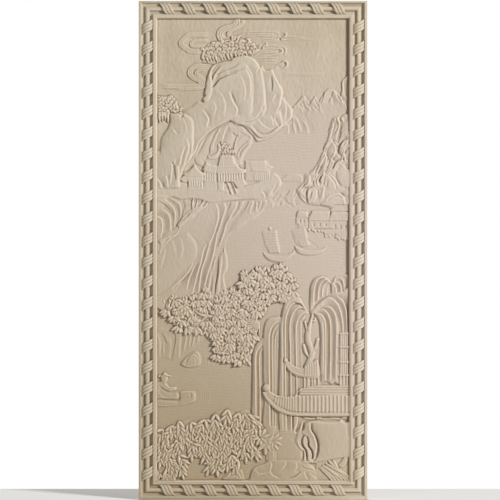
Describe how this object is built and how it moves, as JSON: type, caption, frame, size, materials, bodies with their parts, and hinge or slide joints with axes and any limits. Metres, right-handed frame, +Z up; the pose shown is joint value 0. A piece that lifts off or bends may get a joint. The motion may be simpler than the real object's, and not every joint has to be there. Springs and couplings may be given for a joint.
{
  "type": "stone relief panel",
  "caption": "Tall carved stone wall panel: mountains, pavilions, boats, willows and a tiled house in low relief inside a rope-twist border.",
  "frame": {"origin": "centre of the flat back face, where the panel meets its wall", "axes": "+Z up the panel, +X to the right as seen from the front, -Y out of the carved front, +Y into the wall"},
  "size_m": [1.1, 0.054, 2.4],
  "materials": {
    "sandstone": "matt, finely tooled pale sandstone with darker hollows"
  },
  "bodies": {
    "root": {"relief_panel": "sandstone"}
  },
  "joints": []
}
